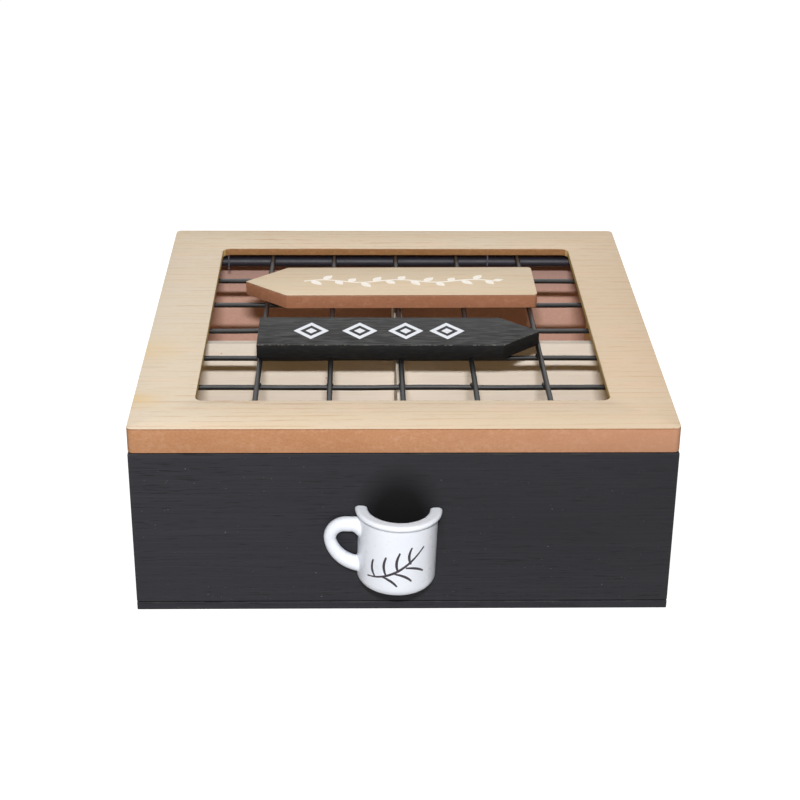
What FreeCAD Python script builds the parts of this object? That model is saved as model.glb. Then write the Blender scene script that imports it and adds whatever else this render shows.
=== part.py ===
import FreeCAD, Part
import math
import os

# A drawer box for tea bags: a case with a fixed wire-mesh top frame, and one drawer
# with four compartments that pulls out by a half mug on its front. Millimetres:
# +X to the right, +Y to the back, +Z up. The origin is the middle of the underside.

# The whole box, without the pull in front and the signs on top.
box_width = 180.0
box_depth = 180.0
box_height = 69.0

# The case: thin boards glued and nailed at their edges.
bottom_thickness = 3.0
side_thickness = 5.0
back_thickness = 3.0

# The top frame: one board with a window, veneered on its upper face.
frame_thickness = 9.0
frame_veneer = 0.6
frame_lip = 2.9
frame_corner_radius = 2.0
frame_side_rail = 20.5
frame_end_rail = 20.5
window_corner_radius = 3.0
rebate_corner_radius = 6.0

# The wire mesh in the frame's rebate: a bent border rod, wires from front to back
# over it, and cross wires welded below those.
rod_diameter = 4.0
rod_bend_radius = 5.0
rod_side_reach = 5.0
rod_end_reach = 2.9
rebate_clearance = 0.35
wire_diameter = 1.9
wire_count = 5
cross_wire_shift = 0.6

# Wire staples: eight hold the mesh up in the rebate, and four hold the signs to it.
staple_wire = 0.5
staple_bite = 2.0
sign_staple_bite = 3.5
staple_side_play = 0.05
staple_corner_distance = 2.0

# The two arrow signs that lie on the mesh, with their gaps to the window's sides.
sign_thickness = 5.4
sign_veneer = 0.6
natural_sign_left_gap = 11.5
natural_sign_right_gap = 17.3
natural_sign_width = 27.7
natural_sign_point = 15.8
natural_sign_end_radius = 1.5
natural_sign_forward = 7.6
natural_sign_turn_degrees = 0.5
black_sign_left_gap = 18.6
black_sign_right_gap = 19.4
black_sign_width = 24.4
black_sign_point = 13.6
black_sign_forward = 6.5
black_sign_turn_degrees = -0.2

# The drawer: an overlay front, three thin walls, a nailed-on bottom and two dividers.
front_thickness = 6.0
front_gap = 0.3
closed_gap = 0.2
drawer_wall = 4.0
drawer_bottom_thickness = 3.0
divider_thickness = 3.0
drawer_headroom = 0.7
drawer_side_gap = 0.5
drawer_under_gap = 0.3
drawer_back_gap = 0.8
divider_play = 0.1

# The pull: a cast half mug with a flat back, hollow from the top, with a loop handle
# that flares where it joins the mug.
pull_radius = 13.2
pull_height = 27.6
pull_base_height = 12.5
pull_centre_x = -2.1
pull_tilt_degrees = 1.8
pull_foot_radius = 3.0
pull_pocket_depth = 15.5
pull_pocket_radius = 3.0
rim_width = 4.2
rim_roll_radius = 1.0
rim_overhang = 1.3
handle_section_radius = 2.35
handle_section_depth = 4.2
handle_top_drop = 5.9
handle_reach = 9.05
handle_top_bend = 5.15
handle_low_bend = 11.7
handle_top_degrees = 100.0
handle_low_degrees = 68.0
handle_flare_radius = 3.3
handle_flare_length = 3.6
handle_flare_sink = 0.15

# Fasteners: small nails in the boards and two screws that hold the pull.
brad_diameter = 1.0
brad_length = 14.0
brad_head_diameter = 1.7
brad_head_height = 0.5
front_brad_sink = 0.8
screw_diameter = 2.9
screw_length = 14.0
screw_hole_diameter = 3.2
screw_head_diameter = 5.4
screw_head_height = 1.9
screw_spacing = 14.0
screw_height = 6.5

# Where nails stand along an edge, as shares of that edge.
four_nail_shares = (0.08, 0.34, 0.6, 0.84)
three_nail_shares = (0.14, 0.5, 0.82)
two_nail_shares = (0.22, 0.78)

# A cut runs past the faces that it opens by this much.
overrun = 1.0

V = FreeCAD.Vector
UP = V(0, 0, 1)

# Heights and planes that several pieces share.
half_width = box_width / 2
half_depth = box_depth / 2
front_face = -half_depth
front_rear = front_face + front_thickness
case_front = front_rear + closed_gap
back_inner = half_depth - back_thickness
frame_bottom = box_height - frame_thickness
lip_bottom = box_height - frame_lip
case_inner = half_width - side_thickness

window_width = box_width - 2 * frame_side_rail
window_depth = box_depth - 2 * frame_end_rail
long_wire_height = lip_bottom - wire_diameter / 2
cross_wire_height = long_wire_height - wire_diameter
rod_height = long_wire_height - wire_diameter / 2 - rod_diameter / 2
rod_x = window_width / 2 + rod_side_reach
rod_y = window_depth / 2 + rod_end_reach
long_wire_pitch = 2 * rod_x / (wire_count + 1)
cross_wire_pitch = 2 * rod_y / (wire_count + 1)
sign_bottom = long_wire_height + wire_diameter / 2

drawer_floor = bottom_thickness + drawer_under_gap
compartment_floor = drawer_floor + drawer_bottom_thickness
drawer_top = frame_bottom - drawer_headroom
drawer_outer = case_inner - drawer_side_gap
drawer_inner = drawer_outer - drawer_wall
drawer_rear = back_inner - drawer_back_gap
drawer_rear_inner = drawer_rear - drawer_wall
inner_middle_y = (front_rear + drawer_rear_inner) / 2


def board(x_low, x_high, y_low, y_high, z_low, z_high):
    """A plain rectangular board between two corners."""
    corner = V(x_low, y_low, z_low)
    return Part.makeBox(x_high - x_low, y_high - y_low, z_high - z_low, corner)


def rounded_board(width, depth, radius, z_low, z_high):
    """A board centred on the origin, with its four upright corners rounded."""
    block = board(-width / 2, width / 2, -depth / 2, depth / 2, z_low, z_high)
    upright = [edge for edge in block.Edges if edge.Vertexes[0].Z != edge.Vertexes[1].Z]
    return block.makeFillet(radius, upright)


def rod(start, direction, diameter, length):
    """A straight round rod from a start point."""
    return Part.makeCylinder(diameter / 2, length, start, direction)


def spread(low, high, shares):
    """The places along an edge that the shares name."""
    return [low + (high - low) * share for share in shares]


def save(name, solids):
    """Writes one sub-part, which is one solid or a group of separate ones."""
    shape = solids[0] if len(solids) == 1 else Part.makeCompound(solids)
    shape.exportStep("parts/" + name + ".step")
    volume = round(shape.Volume, 1)
    print(name, "solids", len(shape.Solids), "volume", volume, "valid", shape.isValid())


def carve(piece, cutters):
    """A piece with the room for its fasteners taken out."""
    for cutter in cutters:
        piece = piece.cut(cutter)
    return piece


def brad(start, direction):
    """A small nail that goes in at a start point, along a direction."""
    head = rod(start, direction, brad_head_diameter, brad_head_height)
    shank = rod(start, direction, brad_diameter, brad_length)
    return head.fuse(shank).removeSplitter()


def case_brads():
    """Flush nails up through the bottom, and forward through the back, into the side boards."""
    nails = []
    for side in (-1, 1):
        x = side * (half_width - side_thickness / 2)
        for y in spread(case_front, back_inner, four_nail_shares):
            nails.append(brad(V(x, y, 0), UP))
        for z in spread(bottom_thickness, frame_bottom, three_nail_shares):
            nails.append(brad(V(x, half_depth, z), V(0, -1, 0)))
    return nails


def case_boards(nails):
    """The bottom, the two sides and the back, with the bottom full size under the rest."""
    bottom = board(-half_width, half_width, front_face, half_depth, 0, bottom_thickness)
    left = board(-half_width, -case_inner, case_front, back_inner, bottom_thickness, frame_bottom)
    right = board(case_inner, half_width, case_front, back_inner, bottom_thickness, frame_bottom)
    back = board(-half_width, half_width, back_inner, half_depth, bottom_thickness, frame_bottom)
    return [carve(piece, nails) for piece in (bottom, left, right, back)]


def wire_places(pitch, shift):
    """The places of the mesh's parallel wires, evenly spaced about the middle."""
    return [(index - (wire_count - 1) / 2) * pitch + shift for index in range(wire_count)]


long_wire_places = wire_places(long_wire_pitch, 0)
cross_wire_places = wire_places(cross_wire_pitch, cross_wire_shift)


def between(places, index):
    """The middle of the space between one wire and the next."""
    return (places[index] + places[index + 1]) / 2


# The signs are stapled in two rows between cross wires, and lie a little forward of them.
back_staple_row = between(cross_wire_places, -2)
front_staple_row = between(cross_wire_places, 1)


def mesh_border():
    """The bent rod round the mesh, welded into a loop with rounded corners."""
    block = rounded_board(2 * rod_x, 2 * rod_y, rod_bend_radius, rod_height, box_height)
    underside = min(block.Faces, key=lambda face: face.CenterOfMass.z)
    path = underside.OuterWire
    first = path.OrderedEdges[0]
    start = first.valueAt(first.FirstParameter)
    way = first.tangentAt(first.FirstParameter)
    section = Part.Wire(Part.Circle(start, way, rod_diameter / 2).toShape())
    loop = path.makePipeShell([section], True, False)
    return Part.Solid(loop) if loop.ShapeType == "Shell" else loop


def long_wires():
    """The wires from front to back, which lie over the border rod."""
    length = 2 * rod_y + rod_diameter / 2
    return [rod(V(x, -length / 2, long_wire_height), V(0, 1, 0), wire_diameter, length)
            for x in long_wire_places]


def cross_wires(border):
    """The wires from side to side, welded between the border rods under the long wires."""
    wires = []
    for y in cross_wire_places:
        wire = rod(V(-rod_x, y, cross_wire_height), V(1, 0, 0), wire_diameter, 2 * rod_x)
        wires.append(max(wire.cut(border).Solids, key=lambda piece: piece.Volume))
    return wires


def staple(span, seat, bite):
    """A wire staple pushed upwards at the origin, across a round wire that runs along Y."""
    inner = span / 2 + staple_side_play
    outer = inner + staple_wire
    half = staple_wire / 2
    crown = board(-outer, outer, -half, half, seat - staple_wire, seat)
    left = board(-outer, -inner, -half, half, seat, bite)
    right = board(inner, outer, -half, half, seat, bite)
    return crown.fuse([left, right]).removeSplitter()


def place(piece, x, y, degrees):
    """A copy of a piece, turned about the upright axis and moved to its place."""
    piece = piece.copy()
    piece.rotate(V(0, 0, 0), UP, degrees)
    piece.translate(V(x, y, 0))
    return piece


def mesh_staples():
    """Two staples on each border rod, with their points in the lip over the rebate."""
    clip = staple(rod_diameter, rod_height - rod_diameter / 2, lip_bottom + staple_bite)
    near_corner = -rod_x + rod_bend_radius + staple_corner_distance
    staples = []
    for side in (-1, 1):
        for x in (near_corner, between(long_wire_places, -2)):
            staples.append(place(clip, x, side * rod_y, 90))
        for y in (between(cross_wire_places, 0), between(cross_wire_places, -2)):
            staples.append(place(clip, side * rod_x, y, 0))
    return staples


def sign_staples():
    """Two staples under each sign, over the second long wire from each side."""
    clip = staple(wire_diameter, long_wire_height - wire_diameter / 2, sign_bottom + sign_staple_bite)
    return [place(clip, long_wire_places[index], y, 0)
            for y in (front_staple_row, back_staple_row) for index in (1, -2)]


def top_frame(staples):
    """The window frame: a core with a rebate underneath, and the veneer on top of it."""
    veneer_bottom = box_height - frame_veneer
    core = rounded_board(box_width, box_depth, frame_corner_radius, frame_bottom, veneer_bottom)
    veneer = rounded_board(box_width, box_depth, frame_corner_radius, veneer_bottom, box_height)
    window = rounded_board(window_width, window_depth, window_corner_radius,
                           frame_bottom - overrun, box_height + overrun)
    rebate_width = 2 * (rod_x + rod_diameter / 2 + rebate_clearance)
    rebate_depth = 2 * (rod_y + rod_diameter / 2 + rebate_clearance)
    rebate = rounded_board(rebate_width, rebate_depth, rebate_corner_radius,
                           frame_bottom - overrun, lip_bottom)
    core = core.cut(window).cut(rebate)
    return carve(core, staples), veneer.cut(window)


def arrow(left_gap, right_gap, width, point, z_low, z_high):
    """A board between two gaps to the window's sides, with its point towards +X."""
    left = left_gap - window_width / 2
    right = window_width / 2 - right_gap
    outline = [V(left, -width / 2, z_low), V(right - point, -width / 2, z_low), V(right, 0, z_low),
               V(right - point, width / 2, z_low), V(left, width / 2, z_low)]
    face = Part.Face(Part.makePolygon(outline + outline[:1]))
    return face.extrude(V(0, 0, z_high - z_low))


def round_blunt_end(piece, radius):
    """An arrow board with the two corners at its blunt end rounded."""
    upright = [edge for edge in piece.Edges if edge.Vertexes[0].Z != edge.Vertexes[1].Z]
    upright.sort(key=lambda edge: edge.CenterOfMass.x)
    return piece.makeFillet(radius, upright[:2])


def signs(staples):
    """The veneered sign that points left, in two layers, and the black one that points right."""
    sign_top = sign_bottom + sign_thickness
    veneer_bottom = sign_top - sign_veneer
    back_y = back_staple_row - natural_sign_forward
    natural = []
    for z_low, z_high in ((sign_bottom, veneer_bottom), (veneer_bottom, sign_top)):
        layer = arrow(natural_sign_right_gap, natural_sign_left_gap, natural_sign_width,
                      natural_sign_point, z_low, z_high)
        layer = round_blunt_end(layer, natural_sign_end_radius)
        natural.append(place(layer, 0, back_y, 180 + natural_sign_turn_degrees))
    black = arrow(black_sign_left_gap, black_sign_right_gap, black_sign_width,
                  black_sign_point, sign_bottom, sign_top)
    black = place(black, 0, front_staple_row - black_sign_forward, black_sign_turn_degrees)
    return carve(natural[0], staples), natural[1], carve(black, staples)


def set_pull(piece):
    """A piece of the pull, made upright at the origin, turned and moved to the drawer front."""
    piece = piece.copy()
    piece.rotate(V(0, 0, pull_height / 2), V(0, 1, 0), pull_tilt_degrees)
    piece.translate(V(pull_centre_x, front_face, pull_base_height))
    return piece


def pull_screw_places():
    """Where the pull's two screws enter its flat back, before it is set."""
    return [V(side * screw_spacing / 2, 0, screw_height) for side in (-1, 1)]


def pocket_radius():
    """The radius of the mug's pocket, which is the rim's inner edge."""
    return pull_radius + rim_overhang - rim_width


def pull_body():
    """The half mug: a revolved wall with a flat rim rolled at both edges, solid below its pocket."""
    roll_centre = pull_radius + rim_overhang - rim_roll_radius
    roll_height = pull_height - rim_roll_radius
    inner = pocket_radius()
    inner_roll = inner + rim_roll_radius
    crease_drop = math.sqrt(rim_roll_radius ** 2 - (pull_radius - roll_centre) ** 2)
    floor = pull_height - pull_pocket_depth
    diagonal = math.sqrt(0.5)
    foot = pull_foot_radius
    foot_middle = foot * (1 - diagonal)
    well = pull_pocket_radius
    well_middle = well * (1 - diagonal)
    roll_middle = rim_roll_radius * diagonal

    def at(r, z):
        return V(r, 0, z)

    edges = [
        Part.LineSegment(at(0, 0), at(pull_radius - foot, 0)),
        Part.Arc(at(pull_radius - foot, 0), at(pull_radius - foot_middle, foot_middle),
                 at(pull_radius, foot)),
        Part.LineSegment(at(pull_radius, foot), at(pull_radius, roll_height - crease_drop)),
        Part.Arc(at(pull_radius, roll_height - crease_drop), at(roll_centre + rim_roll_radius, roll_height),
                 at(roll_centre, pull_height)),
        Part.LineSegment(at(roll_centre, pull_height), at(inner_roll, pull_height)),
        Part.Arc(at(inner_roll, pull_height), at(inner_roll - roll_middle, roll_height + roll_middle),
                 at(inner, roll_height)),
        Part.LineSegment(at(inner, roll_height), at(inner, floor + well)),
        Part.Arc(at(inner, floor + well), at(inner - well_middle, floor + well_middle),
                 at(inner - well, floor)),
        Part.LineSegment(at(inner - well, floor), at(0, floor)),
        Part.LineSegment(at(0, floor), at(0, 0)),
    ]
    face = Part.Face(Part.Wire([edge.toShape() for edge in edges]))
    return face.revolve(V(0, 0, 0), V(0, 0, -1), 180)


def pull_handle():
    """The loop at the mug's left: a round bar on a bent path, flared at both ends, flat at the back."""
    centre_y = handle_section_radius - handle_section_depth
    top = pull_height - handle_top_drop
    bend_x = -pull_radius - handle_reach + handle_top_bend
    first_centre = V(bend_x, centre_y, top - handle_top_bend)

    def on_arc(centre, radius, degrees):
        angle = math.radians(degrees)
        return centre + V(radius * math.cos(angle), 0, radius * math.sin(angle))

    top_end = 90 + handle_top_degrees
    low_end = top_end + handle_low_degrees
    joint = on_arc(first_centre, handle_top_bend, top_end)
    second_centre = on_arc(joint, -handle_low_bend, top_end)
    tail = on_arc(second_centre, handle_low_bend, low_end)
    start = V(-pull_radius + handle_section_radius, centre_y, top)
    tail_way = V(-math.sin(math.radians(low_end)), 0, math.cos(math.radians(low_end)))
    bend_start = V(bend_x, centre_y, top)
    top_middle = on_arc(first_centre, handle_top_bend, 90 + handle_top_degrees / 2)
    low_middle = on_arc(second_centre, handle_low_bend, top_end + handle_low_degrees / 2)
    path = Part.Wire([
        Part.LineSegment(start, bend_start).toShape(),
        Part.Arc(bend_start, top_middle, joint).toShape(),
        Part.Arc(joint, low_middle, tail).toShape(),
        Part.LineSegment(tail, tail + tail_way * (pull_radius / 2)).toShape(),
    ])
    section = Part.Wire(Part.Circle(start, V(1, 0, 0), handle_section_radius).toShape())
    bar = path.makePipeShell([section], True, False)
    bar = Part.Solid(bar) if bar.ShapeType == "Shell" else bar
    slim = handle_section_radius - handle_flare_sink
    for end, way in ((start, V(1, 0, 0)), (tail + tail_way * handle_section_radius, tail_way)):
        flare = Part.makeCone(slim, handle_flare_radius, handle_flare_length,
                              end - way * handle_flare_length, way)
        bar = bar.fuse(flare)
    behind = board(-2 * box_width, 2 * box_width, 0, box_depth, -box_height, box_height)
    return bar.cut(behind)


def mug_pull(screws):
    """The whole pull: body and handle in one casting, with its screw holes."""
    pocket_floor = pull_height - pull_pocket_depth
    well = Part.makeCylinder(pocket_radius(), pull_height, V(0, 0, pocket_floor), UP)
    handle = pull_handle().cut(well)
    casting = pull_body().fuse(handle).removeSplitter()
    return carve(set_pull(casting), screws)


def pull_screws():
    """The two screws, driven from inside the drawer, with round heads on its front board."""
    screws = []
    for spot in pull_screw_places():
        rear = spot + V(0, front_thickness, 0)
        shank = rod(rear, V(0, -1, 0), screw_diameter, screw_length)
        head = rod(rear, V(0, 1, 0), screw_head_diameter, screw_head_height)
        screws.append(set_pull(head.fuse(shank).removeSplitter()))
    return screws


def drawer_brads():
    """Nails that hold the drawer together: sunk and filled over in the front, flush elsewhere."""
    wall_middle = drawer_outer - drawer_wall / 2
    nails = []
    for side in (-1, 1):
        x = side * wall_middle
        for z in spread(compartment_floor, drawer_top, two_nail_shares):
            nails.append(brad(V(x, front_face + front_brad_sink, z), V(0, 1, 0)))
            outside = V(side * drawer_outer, drawer_rear - drawer_wall / 2, z)
            nails.append(brad(outside, V(-side, 0, 0)))
        for y in spread(front_rear, drawer_rear, three_nail_shares):
            nails.append(brad(V(x, y, drawer_floor), UP))
    return nails


def drawer_boards(nails, screws):
    """The front, the two sides, the back and the bottom of the drawer."""
    front = board(-half_width, half_width, front_face, front_rear,
                  bottom_thickness + front_gap, frame_bottom - front_gap)
    for spot in pull_screw_places():
        hole = rod(spot - V(0, overrun, 0), V(0, 1, 0), screw_hole_diameter, front_thickness + 2 * overrun)
        front = front.cut(set_pull(hole))
    left = board(-drawer_outer, -drawer_inner, front_rear, drawer_rear, compartment_floor, drawer_top)
    right = board(drawer_inner, drawer_outer, front_rear, drawer_rear, compartment_floor, drawer_top)
    back = board(-drawer_inner, drawer_inner, drawer_rear_inner, drawer_rear, compartment_floor, drawer_top)
    bottom = board(-drawer_outer, drawer_outer, front_rear, drawer_rear, drawer_floor, compartment_floor)
    return [carve(piece, nails) for piece in (front, left, right, back, bottom)]


def dividers():
    """Two thin boards halved into each other, which make the four compartments."""
    half = divider_thickness / 2
    slot = half + divider_play
    middle = (compartment_floor + drawer_top) / 2
    across = board(-drawer_inner, drawer_inner, inner_middle_y - half, inner_middle_y + half,
                   compartment_floor, drawer_top)
    across = across.cut(board(-slot, slot, inner_middle_y - box_depth, inner_middle_y + box_depth,
                              middle, drawer_top + overrun))
    along = board(-half, half, front_rear, drawer_rear_inner, compartment_floor, drawer_top)
    along = along.cut(board(-box_width, box_width, inner_middle_y - slot, inner_middle_y + slot,
                            compartment_floor - overrun, middle))
    return across, along


os.makedirs("parts", exist_ok=True)

nails = case_brads()
bottom, left_side, right_side, back = case_boards(nails)
save("case_bottom", [bottom])
save("case_left_side", [left_side])
save("case_right_side", [right_side])
save("case_back", [back])
save("case_brads", nails)

border = mesh_border()
mesh_clips = mesh_staples()
sign_clips = sign_staples()
frame_core, frame_skin = top_frame(mesh_clips)
save("top_frame_core", [frame_core])
save("top_frame_veneer", [frame_skin])
save("mesh_border_rod", [border])
save("mesh_long_wires", long_wires())
save("mesh_cross_wires", cross_wires(border))
save("mesh_staples", mesh_clips)

natural_core, natural_skin, black_board = signs(sign_clips)
save("natural_sign_core", [natural_core])
save("natural_sign_veneer", [natural_skin])
save("black_sign", [black_board])
save("sign_staples", sign_clips)

drawer_nails = drawer_brads()
screws = pull_screws()
front, drawer_left, drawer_right, drawer_back, drawer_bottom = drawer_boards(drawer_nails, screws)
save("drawer_front", [front])
save("drawer_left_side", [drawer_left])
save("drawer_right_side", [drawer_right])
save("drawer_back", [drawer_back])
save("drawer_bottom", [drawer_bottom])
save("drawer_brads", drawer_nails)

divider_across, divider_along = dividers()
save("divider_across", [divider_across])
save("divider_lengthwise", [divider_along])

save("mug_pull", [mug_pull(screws)])
save("pull_screws", screws)
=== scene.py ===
import math

import bmesh
import bpy
from mathutils import Matrix, Vector


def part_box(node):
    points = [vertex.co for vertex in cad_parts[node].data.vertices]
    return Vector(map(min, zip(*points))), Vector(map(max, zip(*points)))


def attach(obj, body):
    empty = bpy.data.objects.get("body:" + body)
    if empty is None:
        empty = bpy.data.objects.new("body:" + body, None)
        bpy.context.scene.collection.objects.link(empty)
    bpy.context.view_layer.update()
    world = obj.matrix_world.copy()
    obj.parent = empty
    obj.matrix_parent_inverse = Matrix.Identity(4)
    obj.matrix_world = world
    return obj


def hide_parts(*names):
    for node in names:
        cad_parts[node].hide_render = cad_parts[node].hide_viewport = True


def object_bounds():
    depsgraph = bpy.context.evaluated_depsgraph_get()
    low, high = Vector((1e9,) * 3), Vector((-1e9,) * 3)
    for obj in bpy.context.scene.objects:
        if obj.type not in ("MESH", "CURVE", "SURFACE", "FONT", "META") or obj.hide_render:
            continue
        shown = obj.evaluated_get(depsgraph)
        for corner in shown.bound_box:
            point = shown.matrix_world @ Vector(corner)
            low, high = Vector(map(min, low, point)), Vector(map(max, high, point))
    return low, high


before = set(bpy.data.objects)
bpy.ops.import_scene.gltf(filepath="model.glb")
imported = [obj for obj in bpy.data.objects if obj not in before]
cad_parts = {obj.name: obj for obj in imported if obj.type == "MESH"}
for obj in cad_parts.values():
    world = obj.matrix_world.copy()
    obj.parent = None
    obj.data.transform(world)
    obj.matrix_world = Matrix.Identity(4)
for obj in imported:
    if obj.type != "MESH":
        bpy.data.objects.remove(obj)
cad_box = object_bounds()

# The camera looks down at the front of the box from a little to its left, as the photograph does.
# Its place, its turns and its lens follow from the perspective of the box's corners.
mm = 0.001
camera_place = Vector((-14.2, -599.1, 329.3)) * mm
camera_turn = -0.0247
camera_tilt = 0.4565
camera_roll = 0.0099
sensor_width = 36
focal_length = 79.65


def put_in_scene(name, data):
    """A new object in the scene."""
    made = bpy.data.objects.new(name, data)
    bpy.context.collection.objects.link(made)
    return made


lens = bpy.data.cameras.new("camera")
lens.sensor_width = sensor_width
lens.lens = focal_length
camera = put_in_scene("camera", lens)
camera.matrix_world = (
    Matrix.Translation(camera_place)
    @ Matrix.Rotation(camera_turn, 4, "Z")
    @ Matrix.Rotation(math.pi / 2 - camera_tilt, 4, "X")
    @ Matrix.Rotation(camera_roll, 4, "Z")
)
bpy.context.scene.camera = camera


# The case is a bottom, two sides and a back of fibre board, glued and nailed at their edges.
# They are brushed with charcoal paint, but for the inner faces of the walls and the underside,
# onto which the paint only laps.
board_ease = 0.35 * mm
paint_lap = 5.5 * mm
nail_stand = 0.05 * mm
flat_share = 0.99
upright_share = 0.3
upward_share = 0.1
smooth_angle = math.radians(24)


def seen(red, green, blue):
    """A colour from 0 to 255 as a screen shows it, as the light that a shader takes."""
    linear = []
    for part in (red, green, blue):
        share = part / 255
        linear.append(share / 12.92 if share < 0.04045 else ((share + 0.055) / 1.055) ** 2.4)
    return (*linear, 1)


class Finish:
    """The material of one finish. Its patterns are measured in millimetres on the piece itself."""

    def __init__(self, name, colour, roughness, **shader_values):
        self.material = bpy.data.materials.new(name)
        self.material.use_nodes = True
        self.nodes = self.material.node_tree.nodes
        self.shader = self.nodes["Principled BSDF"]
        self.place = self.nodes.new("ShaderNodeTexCoord").outputs["Object"]
        self.height = None
        self.colour = colour
        self.put("Base Color", colour)
        self.put("Roughness", roughness)
        for socket, value in shader_values.items():
            self.put(socket.replace("_", " "), value)

    def feed(self, socket, value):
        """Gives a socket a value, or links a pattern to it."""
        if isinstance(value, bpy.types.NodeSocket):
            self.material.node_tree.links.new(value, socket)
        else:
            socket.default_value = value

    def put(self, socket, value):
        """Gives one of the shader's own sockets a value or a pattern."""
        self.feed(self.shader.inputs[socket], value)

    def node(self, kind, **inputs):
        """A new node, with a value or a pattern in each of its inputs that is named."""
        made = self.nodes.new("ShaderNode" + kind)
        for socket, value in inputs.items():
            self.feed(made.inputs[socket.replace("_", " ")], value)
        return made

    def at(self, size, seed):
        """The piece's coordinates, in steps of a size along X, Y and Z."""
        mapping = self.node("Mapping", Vector=self.place, Location=(seed, seed * 1.7, seed * 2.3),
                            Scale=[1 / (step * mm) for step in size])
        return mapping.outputs["Vector"]

    def cloud(self, size, seed, detail=3, warp=0):
        """A cloudy pattern from 0 to 1, whose clouds are about as long as the size."""
        noise = self.node("TexNoise", Vector=self.at(size, seed), Scale=1, Detail=detail,
                          Distortion=warp)
        return noise.outputs["Fac"]

    def specks(self, size, seed, width, share):
        """Round dots, of a width that is a share of their cells, in a share of the cells."""
        cells = self.node("TexVoronoi", Vector=self.at(size, seed), Scale=1)
        split = self.node("SeparateColor", Color=cells.outputs["Color"])
        chosen = self.span(split.outputs["Red"], share, share + 0.01, 1, 0)
        return self.times(chosen, self.span(cells.outputs["Distance"], width * 0.6, width, 1, 0))

    def rings(self, size, seed, warp):
        """Growth rings: wavy bands along X, each of which grows from 0 to 1 across the grain."""
        band_length = math.tau / 20
        bands = self.node("TexWave", Vector=self.at([step / band_length for step in size], seed),
                          Scale=1, Distortion=warp, Detail=4, Detail_Scale=1)
        bands.bands_direction = "Y"
        bands.wave_profile = "SAW"
        return bands.outputs["Fac"]

    def spot(self, centre, size):
        """1 at a place on the piece, fading to 0 at an ellipsoid of a size round it."""
        mapping = self.node("Mapping", Vector=self.place, Scale=[1 / (reach * mm) for reach in size],
                            Location=[-part / reach for part, reach in zip(centre, size)])
        ball = self.node("TexGradient", Vector=mapping.outputs["Vector"])
        ball.gradient_type = "SPHERICAL"
        return ball.outputs["Fac"]

    def by_height(self, full, none):
        """1 at a height on the piece and beyond, fading to 0 at a second height."""
        split = self.node("SeparateXYZ", Vector=self.place)
        return self.span(split.outputs["Z"], full * mm, none * mm, 1, 0)

    def span(self, value, low, high, new_low=0, new_high=1):
        """A value from low to high, spread from new_low to new_high and no further."""
        spread = self.node("MapRange", Value=value, From_Min=low, From_Max=high, To_Min=new_low,
                           To_Max=new_high)
        return spread.outputs["Result"]

    def times(self, first, second):
        """The product of two patterns."""
        product = self.node("Math")
        product.operation = "MULTIPLY"
        self.feed(product.inputs[0], first)
        self.feed(product.inputs[1], second)
        return product.outputs["Value"]

    def tint(self, share, colour):
        """Lays a colour over what is there, as strongly as a share or a pattern says."""
        mix = self.node("Mix", Factor=share)
        mix.data_type = "RGBA"
        self.feed(mix.inputs[6], self.colour)
        self.feed(mix.inputs[7], colour)
        self.colour = mix.outputs[2]
        self.put("Base Color", self.colour)

    def mottle(self, colour, size, seed, band, strength, detail=3, warp=0):
        """Lays a colour over in clouds, which fade in between the two levels of a band."""
        self.tint(self.span(self.cloud(size, seed, detail, warp), *band, 0, strength), colour)

    def sprinkle(self, colour, size, seed, width, share, strength):
        """Lays a colour over in specks."""
        self.tint(self.times(self.specks(size, seed, width, share), strength), colour)

    def stain(self, colour, centre, size, strength):
        """Lays a colour over round a place on the piece."""
        self.tint(self.times(self.spot(centre, size), strength), colour)

    def vary_roughness(self, size, seed, low, high):
        """Lets the roughness wander from a low to a high value, in clouds."""
        self.put("Roughness", self.span(self.cloud(size, seed), 0.3, 0.7, low, high))

    def raise_by(self, height, depth):
        """Raises the surface by a pattern, as far as the depth in millimetres."""
        bump = self.node("Bump", Strength=1, Distance=depth * mm, Height=height)
        if self.height:
            self.feed(bump.inputs["Normal"], self.height)
        self.height = bump.outputs["Normal"]
        self.put("Normal", self.height)


def charcoal_paint(name):
    """Thin charcoal paint over level grain, with dark pores and rows of tiny pale specks."""
    paint = Finish(name, seen(39, 39, 44), 0.5, Specular_IOR_Level=0.18)
    paint.mottle(seen(44, 44, 49), (38, 30, 22), 3, (0.4, 0.65), 0.6)
    brushing = paint.cloud((40, 40, 0.6), 7, detail=4)
    paint.tint(paint.span(brushing, 0.42, 0.72, 0, 0.5), seen(54, 54, 58))
    paint.mottle(seen(14, 14, 16), (8, 8, 0.4), 11, (0.6, 0.7), 0.8, detail=2)
    rows = paint.span(paint.cloud((30, 30, 1.6), 29), 0.54, 0.62)
    paint.sprinkle(seen(150, 152, 156), (6, 6, 4.5), 5, 0.05, 0.5, 0.45)
    paint.tint(paint.times(paint.specks((1.5, 1.5, 1.1), 17, 0.15, 0.45), paint.times(rows, 0.55)),
               seen(118, 120, 124))
    ends = paint.times(paint.span(paint.cloud((0.9, 0.9, 16), 31), 0.5, 0.62), paint.by_height(8, 13))
    paint.tint(paint.times(ends, 0.2), seen(50, 50, 54))
    paint.vary_roughness((9, 9, 2), 13, 0.44, 0.6)
    paint.raise_by(brushing, 0.05)
    paint.raise_by(paint.cloud((1.2, 1.2, 0.5), 19), 0.02)
    return paint


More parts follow.
